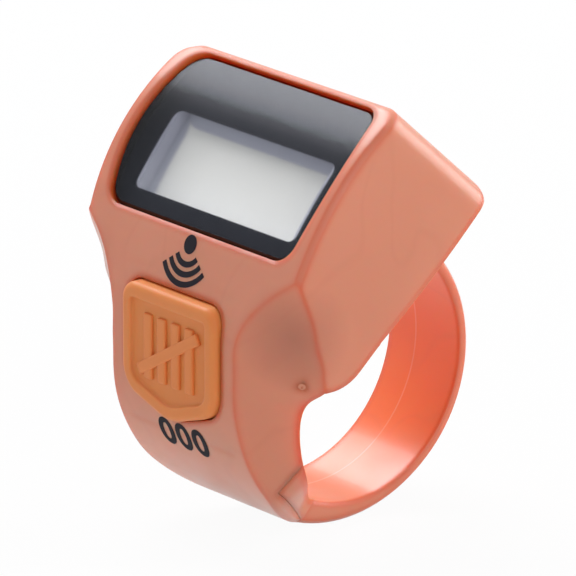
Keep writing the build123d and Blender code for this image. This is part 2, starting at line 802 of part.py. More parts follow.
def ribbon():
    """Flat flexible strip from the back of the button board to the underside of the main board."""
    start = -button_board_back + ribbon_thickness / 2
    under = board_level - ribbon_thickness / 2
    route = FilletPolyline(
        (start, button_board_top - ribbon_pad), (start, button_board_top + 2 * ribbon_thickness),
        side_point(board_foot - ribbon_bend, under), side_point(board_foot + ribbon_pad, under),
        radius=ribbon_bend)
    return across(trace(route, ribbon_thickness), ribbon_half_width)


def all_nodes():
    """Every piece by its node name."""
    form = outer_form()
    nodes = {
        "front_housing": front_housing(form, cavity()),
        "rear_housing": rear_housing(form),
        "display_window": display_window(),
        "window_mask": window_mask(),
        "lcd_frame": lcd_frame(),
        "lcd_polariser": display_slab(polariser_width, polariser_height, polariser_level,
                                      polariser_thickness),
        "lcd_front_glass": display_slab(glass_width, glass_height, glass_level, glass_thickness),
        "lcd_rear_glass": display_slab(glass_width, rear_glass_height, rear_glass_level,
                                       glass_thickness),
        "lcd_reflector": display_slab(glass_width - 2 * reflector_inset,
                                      rear_glass_height - 2 * reflector_inset, reflector_level,
                                      reflector_thickness),
        "zebra_strip_lower": zebra_strip(-1),
        "zebra_strip_upper": zebra_strip(1),
        "main_board": main_board(),
        "chip_blob": chip_blob(),
        "battery_cell": battery_cell(),
        "contact_plus": contact_plus(),
        "contact_minus": contact_minus(),
        "buzzer_plate": disc(buzzer_radius, buzzer_level, buzzer_level + buzzer_thickness,
                             buzzer_x, board_middle),
        "buzzer_ceramic": disc(ceramic_radius, buzzer_level + buzzer_thickness,
                               buzzer_level + buzzer_thickness + ceramic_thickness, buzzer_x,
                               board_middle),
        "buzzer_leaf_inner": buzzer_leaf(
            buzzer_x, buzzer_level + buzzer_thickness + ceramic_thickness),
        "buzzer_leaf_outer": buzzer_leaf(
            buzzer_x - (buzzer_radius + ceramic_radius) / 2, buzzer_level + buzzer_thickness),
        "button_cap": button_cap(),
        "button_board": button_board(),
        "button_dome": button_dome(),
        "ribbon": ribbon(),
    }
    for index in range(component_count):
        nodes[f"board_component_{index + 1}"] = board_component(index)
    for index, (x, u) in enumerate(screw_places()):
        nodes[f"housing_screw_{index + 1}"] = housing_screw(x, u)
    return nodes


os.makedirs("parts", exist_ok=True)
for name, solid in all_nodes().items():
    export_step(solid, f"parts/{name}.step")
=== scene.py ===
"""Digital tally counter worn as a finger ring: finishes, fine shapes, light and camera."""
import json
import logging
import math
from dataclasses import dataclass
from enum import Enum
from typing import Callable, Sequence

import bmesh
import bpy
from mathutils import Matrix, Vector


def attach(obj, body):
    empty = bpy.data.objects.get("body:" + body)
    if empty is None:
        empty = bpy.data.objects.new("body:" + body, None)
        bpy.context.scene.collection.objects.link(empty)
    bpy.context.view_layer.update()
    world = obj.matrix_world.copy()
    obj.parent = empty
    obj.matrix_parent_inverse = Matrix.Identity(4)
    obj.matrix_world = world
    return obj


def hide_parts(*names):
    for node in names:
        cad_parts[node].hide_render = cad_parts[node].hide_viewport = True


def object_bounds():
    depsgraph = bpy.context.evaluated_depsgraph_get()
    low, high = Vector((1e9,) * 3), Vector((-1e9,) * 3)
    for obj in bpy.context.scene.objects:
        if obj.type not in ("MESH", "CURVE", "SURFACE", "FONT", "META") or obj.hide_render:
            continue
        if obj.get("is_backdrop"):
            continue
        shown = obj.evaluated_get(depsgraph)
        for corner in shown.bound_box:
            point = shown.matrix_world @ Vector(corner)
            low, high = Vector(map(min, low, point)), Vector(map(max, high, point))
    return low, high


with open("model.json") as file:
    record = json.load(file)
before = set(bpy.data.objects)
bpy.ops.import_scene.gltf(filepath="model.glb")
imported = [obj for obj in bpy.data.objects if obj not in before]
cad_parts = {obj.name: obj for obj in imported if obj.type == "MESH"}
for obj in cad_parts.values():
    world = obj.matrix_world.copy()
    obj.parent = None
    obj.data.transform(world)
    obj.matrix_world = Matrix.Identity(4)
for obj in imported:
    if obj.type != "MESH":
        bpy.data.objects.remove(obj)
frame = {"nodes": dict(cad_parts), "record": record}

logger = logging.getLogger("tally_counter")

MM = 0.001
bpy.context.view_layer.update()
IMAGE_WIDTH = 576
SENSOR_WIDTH = 36.0
WHITE = "FFFFFF"

Colour = tuple[float, float, float, float]
Place = tuple[float, float, float]
Piece = bpy.types.Object
Socket = bpy.types.NodeSocket


def colour(code: str) -> Colour:
    """Turns a hex colour as a screen shows it into the linear colour that a shader takes.

    Args:
        code: Six hex digits, such as "C98468".

    Returns:
        Linear red, green, blue and an alpha of one.
    """
    channels = [int(code[start:start + 2], 16) / 255 for start in (0, 2, 4)]
    linear = [c / 12.92 if c <= 0.04045 else ((c + 0.055) / 1.055) ** 2.4 for c in channels]
    return (linear[0], linear[1], linear[2], 1.0)


class Body(Enum):
    """The two rigid bodies of the counter."""

    HOUSING = "housing"
    BUTTON = "button"


class Element(Enum):
    """What edit mode picks, with the name of its list in a mesh."""

    FACE = "faces"
    EDGE = "edges"
    VERT = "verts"


@dataclass(frozen=True)
class DisplaySlope:
    """The leaning frame of the display: x along the finger, u up the face, n out of it.

    Attributes:
        tilt: Angle in radians between the display face and the floor.
    """

    tilt: float = math.radians(48.2)

    def point(self, x: float, u: float, n: float) -> Vector:
        """A place in the display frame, in the model's frame."""
        cos_t, sin_t = math.cos(self.tilt), math.sin(self.tilt)
        return Vector((x, u * cos_t - n * sin_t, u * sin_t + n * cos_t))

    def across(self, place: Vector) -> Place:
        """x, u and n of a place in the model's frame."""
        cos_t, sin_t = math.cos(self.tilt), math.sin(self.tilt)
        return (place.x, place.y * cos_t + place.z * sin_t, place.z * cos_t - place.y * sin_t)


SLOPE = DisplaySlope()


class Bench:
    """Selecting, copying and finishing meshes with Blender's own operators.

    Attributes:
        MERGE_REACH: How near the corners of a node's loose triangles lie to be one corner.
        FLAT_ANGLE: Angle in radians up to which a node's triangles make one face.
    """

    MERGE_REACH: float = 0.002 * MM
    FLAT_ANGLE: float = math.radians(0.6)

    @staticmethod
    def only(piece: Piece) -> None:
        """Makes one piece the selected and active one.

        Args:
            piece: The piece.
        """
        bpy.ops.object.select_all(action="DESELECT")
        piece.select_set(True)
        bpy.context.view_layer.objects.active = piece

    @staticmethod
    def named(name: str) -> Piece:
        """Names the piece that an operator has just added.

        Args:
            name: The piece's name.

        Returns:
            The piece, active and alone in the selection.
        """
        piece = bpy.context.view_layer.objects.active
        piece.name = name
        piece.data.name = name
        Bench.only(piece)
        return piece

    @staticmethod
    def start(name: str, add: Callable[..., object], **settings: object) -> Piece:
        """Adds a primitive with nothing else selected.

        Args:
            name: The piece's name.
            add: The operator that adds the primitive.
            **settings: Its values.

        Returns:
            The primitive, active and alone in the selection.
        """
        bpy.ops.object.select_all(action="DESELECT")
        add(**settings)
        return Bench.named(name)

    @staticmethod
    def copy_of_node(node: str, name: str) -> Piece:
        """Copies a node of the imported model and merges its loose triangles.

        Args:
            node: The node's name.
            name: The copy's name.

        Returns:
            The copy, with its own mesh and no finish.
        """
        mesh = frame["nodes"][node].data.copy()
        mesh.name = name
        mesh.materials.clear()
        piece = bpy.data.objects.new(name, mesh)
        bpy.context.scene.collection.objects.link(piece)
        Bench.edit_all(piece)
        bpy.ops.mesh.remove_doubles(threshold=Bench.MERGE_REACH)
        bpy.ops.mesh.customdata_custom_splitnormals_clear()
        bpy.ops.mesh.dissolve_limited(angle_limit=Bench.FLAT_ANGLE)
        Bench.done()
        return piece

    @staticmethod
    def twin(piece: Piece, name: str) -> Piece:
        """Copies a piece with a mesh of its own.

        Args:
            piece: The piece.
            name: The copy's name.

        Returns:
            The copy.
        """
        copy = piece.copy()
        copy.data = piece.data.copy()
        copy.name = name
        copy.data.name = name
        bpy.context.scene.collection.objects.link(copy)
        return copy

    @staticmethod
    def join(pieces: Sequence[Piece]) -> Piece:
        """Joins pieces into the first of them.

        Args:
            pieces: The pieces.

        Returns:
            The first piece, with all meshes in it.
        """
        Bench.only(pieces[0])
        for piece in pieces:
            piece.select_set(True)
        bpy.ops.object.join()
        return pieces[0]

    @staticmethod
    def edit(piece: Piece, kind: Element, pick: Callable[..., bool]) -> None:
        """Enters edit mode with only some elements selected.

        Args:
            piece: The piece to edit.
            kind: What is picked.
            pick: Says whether a face, edge or vertex is selected.
        """
        Bench.only(piece)
        bpy.ops.object.mode_set(mode="EDIT")
        bpy.ops.mesh.select_mode(type=kind.name)
        bpy.ops.mesh.select_all(action="DESELECT")
        mesh = bmesh.from_edit_mesh(piece.data)
        for element in getattr(mesh, kind.value):
            element.select = pick(element)
        mesh.select_flush(kind is not Element.EDGE)
        bmesh.update_edit_mesh(piece.data)

    @staticmethod
    def edit_all(piece: Piece) -> None:
        """Enters edit mode with everything selected.

        Args:
            piece: The piece to edit.
        """
        Bench.only(piece)
        bpy.ops.object.mode_set(mode="EDIT")
        bpy.ops.mesh.select_all(action="SELECT")

    @staticmethod
    def done() -> None:
        """Leaves edit mode."""
        bpy.ops.object.mode_set(mode="OBJECT")

    @staticmethod
    def modify(piece: Piece, kind: str, **settings: object) -> None:
        """Adds a modifier with its settings and applies it.

        Args:
            piece: The piece to change.
            kind: The modifier's type.
            **settings: Values of the modifier's own properties.
        """
        Bench.only(piece)
        modifier = piece.modifiers.new(kind.title(), kind)
        for key, value in settings.items():
            setattr(modifier, key, value)
        bpy.ops.object.modifier_apply(modifier=modifier.name)

    @staticmethod
    def smooth(piece: Piece, angle: float) -> None:
        """Shades a piece smooth up to an angle in degrees."""
        Bench.only(piece)
        bpy.ops.object.shade_smooth_by_angle(angle=math.radians(angle))

    @staticmethod
    def settle(piece: Piece) -> None:
        """Applies a piece's place, turn and scale to its mesh."""
        Bench.only(piece)
        bpy.ops.object.transform_apply(location=True, rotation=True, scale=True)


class Nodes:
    """Short ways to make and join shader nodes."""

    def __init__(self, tree: bpy.types.NodeTree) -> None:
        """Works on one node tree, emptied first."""
        self.tree = tree
        tree.nodes.clear()

    def add(self, kind: str, **values: object) -> bpy.types.Node:
        """Adds a node.

        Args:
            kind: The node's type.
            **values: Its properties, or its inputs by name with spaces as underscores.

        Returns:
            The node.
        """
        node = self.tree.nodes.new(kind)
        for key, value in values.items():
            label = key.replace("_", " ")
            if label in node.inputs:
                self.feed(node.inputs[label], value)
            else:
                setattr(node, key, value)
        return node

    def feed(self, socket: Socket, value: object) -> None:
        """Sets a socket to a plain value or links another socket to it.

        Args:
            socket: The input to feed.
            value: The value or the other socket.
        """
        if isinstance(value, Socket):
            self.tree.links.new(value, socket)
        else:
            socket.default_value = value

    def step(self, node: bpy.types.Node, *values: object, gives: int | str = 0) -> Socket:
        """Feeds a node's first inputs in order.

        Args:
            node: The node.
            *values: A value or socket for each input.
            gives: The output that is wanted.

        Returns:
            That output.
        """
        for index, value in enumerate(values):
            self.feed(node.inputs[index], value)
        return node.outputs[gives]

    def mix(self, factor: object, low: object, high: object) -> Socket:
        """Mixes two colours, with the second at a factor of one."""
        node = self.add("ShaderNodeMix", data_type="RGBA", Factor=factor, A=low, B=high)
        return node.outputs["Result"]

    def mix_shader(self, factor: object, low: object, high: object) -> Socket:
        """Mixes two shaders, with the second at a factor of one."""
        return self.step(self.add("ShaderNodeMixShader"), factor, low, high)

    def math(self, operation: str, first: object, second: object = 0.0) -> Socket:
        """A step of arithmetic on two values or sockets."""
        return self.step(self.add("ShaderNodeMath", operation=operation), first, second)

    def relate(self, operation: str, first: object, second: object) -> Socket:
        """A value that comes from two vectors, such as their distance."""
        node = self.add("ShaderNodeVectorMath", operation=operation)
        return self.step(node, first, second, gives="Value")

    def ramp(self, value: object, low: float, high: float) -> Socket:
        """Zero below one value, one above the other and straight between."""
        node = self.add("ShaderNodeMapRange", From_Min=low, From_Max=high, Value=value)
        return node.outputs["Result"]

    def backdrop_rays(self) -> Socket:
        """Tells the rays that show the backdrop from those that carry light.

        Returns:
            One for camera, glossy and transmission rays.
        """
        path = self.add("ShaderNodeLightPath").outputs
        seen = self.math("MAXIMUM", path["Is Camera Ray"], path["Is Glossy Ray"])
        return self.math("MAXIMUM", seen, path["Is Transmission Ray"])


class Effects:
    """Shader effects that several finishes share, each a node group built once.

    Attributes:
        BROAD_SHARE: Scale of the broad unevenness as a share of the fine one's.
        NOISE_SPAN: The values of a noise between which it has its whole effect.
        BUMP_HEIGHT: Height of the bumps at full strength.
        EDGE_SPAN: How far the rounded and the plain normal agree, from no edge to a sharp one.
        HOLLOW_SPAN: How open a place is, from no hollow to a deep one.
    """

    BROAD_SHARE: float = 0.18
    NOISE_SPAN: tuple[float, float] = (0.3, 0.7)
    BUMP_HEIGHT: float = 0.02 * MM
    EDGE_SPAN: tuple[float, float] = (0.995, 0.9)
    HOLLOW_SPAN: tuple[float, float] = (0.9, 0.45)

    def __init__(self) -> None:
        """Builds the groups."""
        self.mould = self._mould_texture()
        self.depth = self._edge_and_hollow()

    def _group(self, name: str, inputs: dict[str, float],
               outputs: dict[str, str]) -> tuple[bpy.types.NodeTree, Nodes, bpy.types.Node]:
        """Starts a group with named inputs and outputs.

        Args:
            name: The group's name.
            inputs: Default value of each input, which all take a number.
            outputs: What each output gives, Float or Vector.

        Returns:
            The group, its node helper and its input node.
        """
        tree = bpy.data.node_groups.new(name, "ShaderNodeTree")
        for label, value in inputs.items():
            tree.interface.new_socket(label, in_out="INPUT",
                                      socket_type="NodeSocketFloat").default_value = value
        for label, kind in outputs.items():
            tree.interface.new_socket(label, in_out="OUTPUT", socket_type=f"NodeSocket{kind}")
        nodes = Nodes(tree)
        return tree, nodes, nodes.add("NodeGroupInput")

    def _mould_texture(self) -> bpy.types.NodeTree:
        """The faint unevenness of a moulded surface with rounded edges.

        Returns:
            The group, with inputs Scale, Strength, Roughness, Round and Patchiness and
            outputs Tone, Roughness and Normal.
        """
        tree, nodes, given = self._group(
            "mould texture",
            {"Scale": 900.0, "Strength": 0.1, "Roughness": 0.3, "Round": 0.2 * MM,
             "Patchiness": 0.08},
            {"Tone": "Float", "Roughness": "Float", "Normal": "Vector"})
        place = nodes.add("ShaderNodeTexCoord").outputs["Object"]
        scale = given.outputs["Scale"]
        broad = nodes.add("ShaderNodeTexNoise", Vector=place, Detail=3.0,
                          Scale=nodes.math("MULTIPLY", scale, self.BROAD_SHARE))
        fine = nodes.add("ShaderNodeTexNoise", Vector=place, Detail=2.0, Scale=scale)
        patches = nodes.math("MULTIPLY", nodes.ramp(fine.outputs["Fac"], *self.NOISE_SPAN),
                             given.outputs["Patchiness"])
        soft = nodes.add("ShaderNodeBevel", samples=6, Radius=given.outputs["Round"])
        bump = nodes.add("ShaderNodeBump", Distance=self.BUMP_HEIGHT, Height=broad.outputs["Fac"],
                         Strength=given.outputs["Strength"], Normal=soft.outputs["Normal"])
        nodes.add("NodeGroupOutput", Tone=nodes.ramp(broad.outputs["Fac"], *self.NOISE_SPAN),
                  Roughness=nodes.math("ADD", patches, given.outputs["Roughness"]),
                  Normal=bump.outputs["Normal"])
        return tree

    def _edge_and_hollow(self) -> bpy.types.NodeTree:
        """A mask of sharp edges and one of hollows, each within a given reach.

        Returns:
            The group, with inputs Edge Reach and Hollow Reach and outputs Edge and Hollow.
        """
        tree, nodes, given = self._group(
            "edge and hollow", {"Edge Reach": 0.3 * MM, "Hollow Reach": 3.0 * MM},
            {"Edge": "Float", "Hollow": "Float"})
        soft = nodes.add("ShaderNodeBevel", samples=4, Radius=given.outputs["Edge Reach"])
        sharp = nodes.add("ShaderNodeNewGeometry").outputs["Normal"]
        match = nodes.relate("DOT_PRODUCT", soft.outputs["Normal"], sharp)
        around = nodes.add("ShaderNodeAmbientOcclusion", samples=8, only_local=True,
                           Distance=given.outputs["Hollow Reach"])
        nodes.add("NodeGroupOutput", Edge=nodes.ramp(match, *self.EDGE_SPAN),
                  Hollow=nodes.ramp(around.outputs["AO"], *self.HOLLOW_SPAN))
        return tree


@dataclass(frozen=True)
class Finish:
    """One material: its colours and how it takes light.

    Attributes:
        name: The material's name.
        base: Hex colour of the flat surface.
        deep: Hex colour of the uneven tone.
        edge: Hex colour painted on convex edges as their highlight and the glow of light through
            them, used together with hollow.
        tone: How far the uneven tone reaches from base to deep.
        roughness: Roughness of the surface.
        metallic: One for metal.
        coat: Weight of a clear coat.
        coat_roughness: Roughness of the clear coat.
        specular: Specular level.
        specular_tint: Hex colour of what the surface reflects head on.
        glow: Subsurface weight.
        glow_reach: Subsurface scale in metres.
        grain: Scale of the mould texture.
        relief: Strength of the mould texture's bump.
        patchiness: How much the roughness varies.
        transmission: One for clear glass or plastic.
        index: Refractive index.
        hollow: Hex colour painted into hollows and inner walls as their shade and the glow of
            light through thin walls, or nothing.
        hollow_glow_shade_tone: How far a hollow takes that painted colour.
        hollow_reach: How near its walls lie, in metres.
        edge_glow_tone: How far a sharp edge takes the painted edge colour.
        edge_reach: How far from a sharp edge that colour reaches, in metres.
        round: Radius of the rounding that its edges show, in metres.
    """

    name: str
    base: str
    deep: str
    edge: str = ""
    tone: float = 0.5
    roughness: float = 0.4
    metallic: float = 0.0
    coat: float = 0.0
    coat_roughness: float = 0.05
    specular: float = 0.5
    specular_tint: str = WHITE
    glow: float = 0.0
    glow_reach: float = 1.0 * MM
    grain: float = 900.0
    relief: float = 0.1
    patchiness: float = 0.08
    transmission: float = 0.0
    index: float = 1.5
    hollow: str = ""
    hollow_glow_shade_tone: float = 0.0
    hollow_reach: float = 3.0 * MM
    edge_glow_tone: float = 0.0
    edge_reach: float = 0.3 * MM
    round: float = 0.15 * MM

    def build(self, effects: Effects) -> bpy.types.Material:
        """Makes the material.

        Args:
            effects: The shared shader groups.

        Returns:
            The material.
        """
        material = bpy.data.materials.new(self.name)
        material.use_nodes = True
        nodes = Nodes(material.node_tree)
        mould = nodes.add("ShaderNodeGroup", node_tree=effects.mould, Scale=self.grain,
                          Strength=self.relief, Roughness=self.roughness, Round=self.round,
                          Patchiness=self.patchiness)
        tone = nodes.math("MULTIPLY", mould.outputs["Tone"], self.tone)
        paint = nodes.mix(tone, colour(self.base), colour(self.deep))
        # Painted light: hollows and inner walls take a colour that stands for their shade and for
        # light glowing through thin walls.
        if self.hollow:
            depth = nodes.add("ShaderNodeGroup", node_tree=effects.depth,
                              Hollow_Reach=self.hollow_reach, Edge_Reach=self.edge_reach)
            hollow_glow_shade_share = nodes.math("MULTIPLY", depth.outputs["Hollow"], self.hollow_glow_shade_tone)
            paint = nodes.mix(hollow_glow_shade_share, paint, colour(self.hollow))
            # Painted light: sharp edges take a colour that stands for their highlight and glow.
            lit = nodes.math("MULTIPLY", depth.outputs["Edge"], self.edge_glow_tone)
            paint = nodes.mix(lit, paint, colour(self.edge))
        shader = nodes.add(
            "ShaderNodeBsdfPrincipled", Base_Color=self.extra_paint(nodes, paint),
            Roughness=mould.outputs["Roughness"], Normal=mould.outputs["Normal"],
            Metallic=self.metallic, IOR=self.index, Transmission_Weight=self.transmission,
            Coat_Weight=self.coat, Coat_Roughness=self.coat_roughness,
            Specular_IOR_Level=self.specular, Specular_Tint=colour(self.specular_tint),
            Subsurface_Weight=self.glow, Subsurface_Scale=self.glow_reach)
        nodes.add("ShaderNodeOutputMaterial", Surface=self.surface(nodes, shader))
        return material

    def extra_paint(self, nodes: Nodes, paint: Socket) -> Socket:
        """Lets a finish add its own marks to the colour."""
        return paint

    def surface(self, nodes: Nodes, shader: bpy.types.Node) -> Socket:
        """Lets a finish change what reaches the output."""
        return shader.outputs[0]


@dataclass(frozen=True)
class MouldedPlastic(Finish):
    """The housing's plastic, with the marks that its mould left and a painted shade in the hollow
    of each flank.

    Attributes:
        line_place: Where the mould's parting line runs inside the finger hole, in x.
        line_width: Half the width of that line.
        line_colour: Hex colour of that line.
        line_tone: How far the line takes its colour.
        hole_radius: Radius inside which the line shows.
        flank_shade_place: Middle of the hollow of the right flank, where a shade is painted.
        flank_shade_reach: How far from there, and from its mirror image, the painted shade fades
            out.
        flank_shade_colour: Hex colour of the painted shade.
        flank_shade_tone: How strong it is in the middle.
        flow_scale: Scale of the faint flow marks.
        flow_twist: How far they swirl.
        flow_span: How far from the noise's middle a flow mark ends, and where it is full.
        flow_colour: Hex colour of a flow mark.
        flow_tone: How far it takes that colour.
    """

    line_place: float = -1.0 * MM
    line_width: float = 0.09 * MM
    line_colour: str = "F6BE9C"
    line_tone: float = 0.45
    hole_radius: float = 10.3 * MM
    # Painted shade: the hollow of each flank darkens towards its middle.
    flank_shade_place: Place = (10.9 * MM, -11.6 * MM, 6.6 * MM)
    flank_shade_reach: float = 4.5 * MM
    flank_shade_colour: str = "8E4F3A"
    flank_shade_tone: float = 0.5
    flow_scale: float = 70.0
    flow_twist: float = 1.4
    flow_span: tuple[float, float] = (0.03, 0.004)
    flow_colour: str = "C06A4C"
    flow_tone: float = 0.08

    def extra_paint(self, nodes: Nodes, paint: Socket) -> Socket:
        """Adds the parting line, the painted shade in the hollow of both flanks and the flow
        marks.

        Args:
            nodes: The material's node helper.
            paint: The colour so far.

        Returns:
            The colour with its marks.
        """
        place = nodes.add("ShaderNodeTexCoord").outputs["Object"]
        x, y, z = nodes.add("ShaderNodeSeparateXYZ", Vector=place).outputs
        off = nodes.math("ABSOLUTE", nodes.math("SUBTRACT", x, self.line_place))
        line = nodes.ramp(off, self.line_width, self.line_width / 3)
        reach = nodes.math("ADD", nodes.math("MULTIPLY", y, y), nodes.math("MULTIPLY", z, z))
        within = nodes.math("LESS_THAN", reach, self.hole_radius ** 2)
        mark = nodes.math("MULTIPLY", nodes.math("MULTIPLY", line, within), self.line_tone)
        paint = nodes.mix(mark, paint, colour(self.line_colour))
        # Painted shade in the hollow of both flanks, darkest in their middle.
        side = nodes.add("ShaderNodeCombineXYZ", X=nodes.math("ABSOLUTE", x), Y=y, Z=z)
        away = nodes.relate("DISTANCE", side.outputs[0], self.flank_shade_place)
        painted_flank_shade = nodes.math("MULTIPLY", nodes.ramp(away, self.flank_shade_reach, 0.0), self.flank_shade_tone)
        paint = nodes.mix(painted_flank_shade, paint, colour(self.flank_shade_colour))
        swirl = nodes.add("ShaderNodeTexNoise", Vector=place, Scale=self.flow_scale, Detail=1.0,
                          Distortion=self.flow_twist)
        near = nodes.math("ABSOLUTE", nodes.math("SUBTRACT", swirl.outputs["Fac"], 0.5))
        streak = nodes.math("MULTIPLY", nodes.ramp(near, *self.flow_span), self.flow_tone)
        return nodes.mix(streak, paint, colour(self.flow_colour))


@dataclass(frozen=True)
class ClearPlastic(Finish):
    """Clear plastic that lets lamps light what lies under it."""

    def surface(self, nodes: Nodes, shader: bpy.types.Node) -> Socket:
        """Lets shadow rays and light from under it through.

        Args:
            nodes: The material's node helper.
            shader: The clear shader.

        Returns:
            The shader, see-through to those rays.
        """
        clear = nodes.add("ShaderNodeBsdfTransparent")
        path = nodes.add("ShaderNodeLightPath").outputs
        ray = nodes.math("MAXIMUM", path["Is Shadow Ray"], path["Is Diffuse Ray"])
        return nodes.mix_shader(ray, shader.outputs[0], clear.outputs[0])


class Finishes:
    """Every finish, by the record's material slot or by its own piece."""

    def __init__(self, effects: Effects) -> None:
        """Builds the materials.

        Args:
            effects: The shared shader groups.
        """
        plans: dict[str, Finish] = {
            # The hollow colours below are painted shade and glow; the edge colours are painted
            # highlight and glow.
            "housing": MouldedPlastic(
                "salmon plastic", "DE8D6C", "D6825F", "DA5A24", roughness=0.28, coat=0.1,
                glow=0.7, glow_reach=1.6 * MM, grain=420.0, hollow="F07A26", hollow_glow_shade_tone=0.95,
                hollow_reach=22.0 * MM, edge_glow_tone=0.9, edge_reach=0.9 * MM, round=0.7 * MM),
            "button": Finish(
                "button plastic", "E68D4A", "E0843F", "EE9E60", tone=0.4, roughness=0.45,
                specular=0.35, glow=0.4, glow_reach=0.8 * MM, grain=700.0, relief=0.2,
                hollow="D9702A", hollow_glow_shade_tone=0.6, hollow_reach=1.2 * MM, edge_glow_tone=0.4,
                round=0.3 * MM),
            "window": ClearPlastic(
                "clear window", "F4F5F7", "EEF0F3", tone=0.1, roughness=0.2, transmission=1.0,
                index=1.45, specular_tint="626878", relief=0.0, patchiness=0.0,
                round=0.05 * MM),
            "mask": Finish(
                "window mask", "1A1C25", "171921", tone=0.2, roughness=0.6, specular=0.05,
                relief=0.0, patchiness=0.0),
            "frame_plastic": Finish(
                "display frame", "DADAD5", "CFCFC9", tone=0.4, roughness=0.5),
            "display_face": Finish(
                "display film", "EBEAE0", "E3E2D8", roughness=0.45, relief=0.05, grain=300.0),
            "display_glass": Finish(
                "display glass", "DDE2DE", "D5DAD6", tone=0.2, roughness=0.05),
            "reflector": Finish("reflector", "D5D5D0", "C8C8C3", tone=0.3, roughness=0.3),
            "contact_rubber": Finish(
                "contact rubber", "1E1E20", "28282A", tone=0.6, roughness=0.8),
            "board": Finish(
                "circuit board", "1D6B3A", "175A30", tone=0.6, roughness=0.35, coat=0.3),
            "resin": Finish("resin drop", "0C0C0D", "161617", roughness=0.15),
            "component": Finish("ceramic part", "7D6650", "6B5643", roughness=0.5),
            "cell_steel": Finish("cell steel", "C9CACC", "BDBEC1", roughness=0.22, metallic=1.0),
            "contact_metal": Finish(
                "spring metal", "C6C1B4", "B5B0A2", roughness=0.3, metallic=1.0),
            "buzzer_brass": Finish(
                "buzzer brass", "D2AC55", "BE9846", roughness=0.28, metallic=1.0),
            "ceramic": Finish("silvered ceramic", "DBDBD7", "CECECA", roughness=0.5),
            "ribbon": Finish("amber film", "B87A2A", "A86C22", roughness=0.35, coat=0.3),
            "screw_steel": Finish(
                "screw steel", "8E8F93", "7C7D81", tone=0.6, roughness=0.35, metallic=1.0),
            # Grey of the display's border, partly a painted shadow that the mask casts on the
            # display.
            "border": Finish(
                "display border", "A8AAB8", "A0A2B0", tone=0.4, roughness=0.5, relief=0.05),
            # Painted dark reflection: the clear window's walls and rounded rim in near-black.
            "rim": Finish(
                "window rim", "101115", "0D0E12", tone=0.4, roughness=0.22, specular=0.3,
                relief=0.0, patchiness=0.02),
            "tally": Finish(
                "tally plastic", "E88A48", "E2803E", tone=0.4, roughness=0.45, specular=0.35,
                grain=700.0, relief=0.2, round=0.04 * MM),
            "skin": Finish(
                "salmon skin", "DC8A68", "D6815F", roughness=0.28, coat=0.1, grain=420.0,
                round=0.01 * MM),
            "ink": Finish(
                "dark print", "262329", "1E1C23", roughness=0.7, specular=0.15, relief=0.3),
        }
        self.made = {key: plan.build(effects) for key, plan in plans.items()}

    def dress(self, piece: Piece, *keys: str) -> None:
        """Gives a shaped piece its finishes, the first of them on all faces, and reports it.

        Args:
            piece: The piece.
            *keys: Slot or name of each finish.
        """
        piece.data.materials.clear()
        for key in keys:
            piece.data.materials.append(self.made[key])
        logger.info("%s: %d faces in %s", piece.name, len(piece.data.polygons), ", ".join(keys))

    def dress_nodes(self) -> None:
        """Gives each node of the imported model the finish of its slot."""
        for part in frame["record"]["subparts"]:
            for slot in frame["nodes"][part["node"]].material_slots:
                slot.material = self.made[part["material_slot"]]
            logger.info("finish of %s: %s", part["node"], part["material_slot"])


